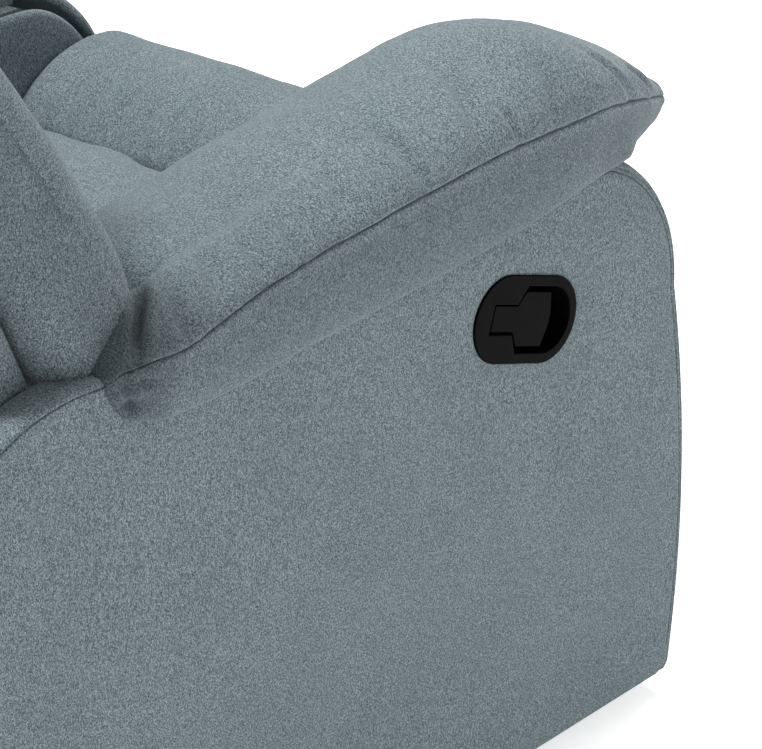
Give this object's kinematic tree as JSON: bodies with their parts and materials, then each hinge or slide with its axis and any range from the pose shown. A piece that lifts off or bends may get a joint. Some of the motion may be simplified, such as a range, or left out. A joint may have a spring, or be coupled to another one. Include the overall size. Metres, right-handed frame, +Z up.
{
  "type": "recliner armchair",
  "caption": "Overstuffed fabric recliner armchair with pillow-top arms, sliding seat, folding legrest, reclining back and a flush pull release in the side.",
  "frame": {"origin": "on the floor, midway between the foremost and rearmost points and between the arms", "axes": "+Z up, -Y towards the front of the chair, -X towards the sitter's right arm, which has the release handle"},
  "size_m": [0.944, 0.95, 1.0131],
  "materials": {
    "upholstery_fabric": "heathered woven upholstery",
    "plywood": "raw plywood",
    "timber": "raw softwood",
    "mechanism_steel": "black stove enamel",
    "bright_steel": "zinc plated",
    "black_plastic": "satin moulded",
    "glide_plastic": "matte",
    "webbing": "elastic webbing"
  },
  "bodies": {
    "base": {"side_panel_right": "upholstery_fabric", "side_panel_left": "upholstery_fabric", "outer_arm_board_right": "plywood", "outer_arm_board_left": "plywood", "inner_arm_boards": "plywood", "arm_top_boards": "plywood", "arm_front_boards": "plywood", "arm_front_pads": "upholstery_fabric", "inner_arm_pads": "upholstery_fabric", "arm_pillow_right": "upholstery_fabric", "arm_pillow_left": "upholstery_fabric", "corner_blocks": "timber", "foot_glides": "glide_plastic", "front_rail": "timber", "rear_rail": "timber", "rear_apron": "upholstery_fabric", "mechanism_rails": "mechanism_steel", "rail_screws": "bright_steel", "handle_bezel": "black_plastic", "bezel_screws": "bright_steel", "handle_pin": "bright_steel", "handle_spring": "bright_steel", "release_cable": "black_plastic", "cable_ferrules": "black_plastic", "latch_post": "mechanism_steel"},
    "handle": {"handle_tab": "black_plastic"},
    "latch": {"latch_pawl": "mechanism_steel"},
    "seat": {"seat_plates": "mechanism_steel", "glide_shoes": "glide_plastic", "latch_striker": "mechanism_steel", "seat_side_rails": "timber", "seat_cross_rails": "timber", "seat_springs": "bright_steel", "seat_cushion": "upholstery_fabric", "seat_front_roll": "upholstery_fabric", "leg_pivot_pins": "bright_steel", "back_pivot_pins": "bright_steel"},
    "back": {"back_posts": "timber", "back_brackets": "mechanism_steel", "back_cross_rails": "timber", "back_webbing": "webbing", "wing_boards": "plywood", "lumbar_cushion": "upholstery_fabric", "middle_cushion": "upholstery_fabric", "head_cushion": "upholstery_fabric", "back_wing_right": "upholstery_fabric", "back_wing_left": "upholstery_fabric", "back_side_bands": "upholstery_fabric", "outside_back_panel": "upholstery_fabric"},
    "lower_links": {"lower_leg_links": "mechanism_steel", "knee_pins": "bright_steel", "drive_pins": "bright_steel"},
    "upper_links": {"upper_leg_links": "mechanism_steel", "toe_pins": "bright_steel"},
    "legrest": {"legrest_brackets": "mechanism_steel", "legrest_board": "plywood", "legrest_pad": "upholstery_fabric"},
    "torque_tube": {"torque_tube": "mechanism_steel"},
    "drive_rods": {"drive_rods": "mechanism_steel"}
  },
  "joints": [
    {"name": "back_recline", "type": "hinge", "parent": "seat", "child": "back", "pos_m": [0, 0.185, 0.33], "axis": [-1, 0, 0], "range_deg": [0, 30]},
    {"name": "seat_slide", "type": "slide", "parent": "base", "child": "seat", "axis": [0, -1, 0], "range_m": [0, 0.0601]},
    {"name": "legrest_open", "type": "hinge", "parent": "seat", "child": "lower_links", "pos_m": [0, -0.225, 0.3], "axis": [-1, 0, 0], "range_deg": [0, 80.6]},
    {"name": "knee", "type": "hinge", "parent": "lower_links", "child": "upper_links", "pos_m": [0, -0.23182, 0.0701], "axis": [-1, 0, 0], "range_deg": [-98.8, 0.1]},
    {"name": "toe", "type": "hinge", "parent": "upper_links", "child": "legrest", "pos_m": [0, -0.375, 0.2501], "axis": [-1, 0, 0], "range_deg": [-0.1, 108.2]},
    {"name": "tube_turn", "type": "hinge", "parent": "seat", "child": "torque_tube", "pos_m": [0, -0.135, 0.24], "axis": [-1, 0, 0], "range_deg": [-0.1, 80.7]},
    {"name": "rod_swing", "type": "hinge", "parent": "lower_links", "child": "drive_rods", "pos_m": [0, -0.22678, 0.24003], "axis": [-1, 0, 0], "range_deg": [-80.7, 0.1]},
    {"name": "handle_pull", "type": "hinge", "parent": "base", "child": "handle", "pos_m": [-0.443, -0.19706, 0.45398], "axis": [0, 0.309, -0.9511], "range_deg": [0, 22], "stiffness_Nm_per_rad": 1.2, "springref_deg": -11.46},
    {"name": "latch_turn", "type": "hinge", "parent": "base", "child": "latch", "pos_m": [-0.237, -0.134, 0.146], "axis": [-1, 0, 0], "range_deg": [-0.1, 8.1]}
  ],
  "couplings": [
    {"joint": "seat_slide", "follows": "back_recline", "m_per_rad": 0.11459},
    {"joint": "knee", "follows": "legrest_open", "ratio": -1.2246},
    {"joint": "toe", "follows": "legrest_open", "ratio": 1.3412},
    {"joint": "tube_turn", "follows": "legrest_open", "ratio": 1},
    {"joint": "rod_swing", "follows": "legrest_open", "ratio": -1},
    {"joint": "latch_turn", "follows": "handle_pull", "ratio": 0.36364}
  ]
}
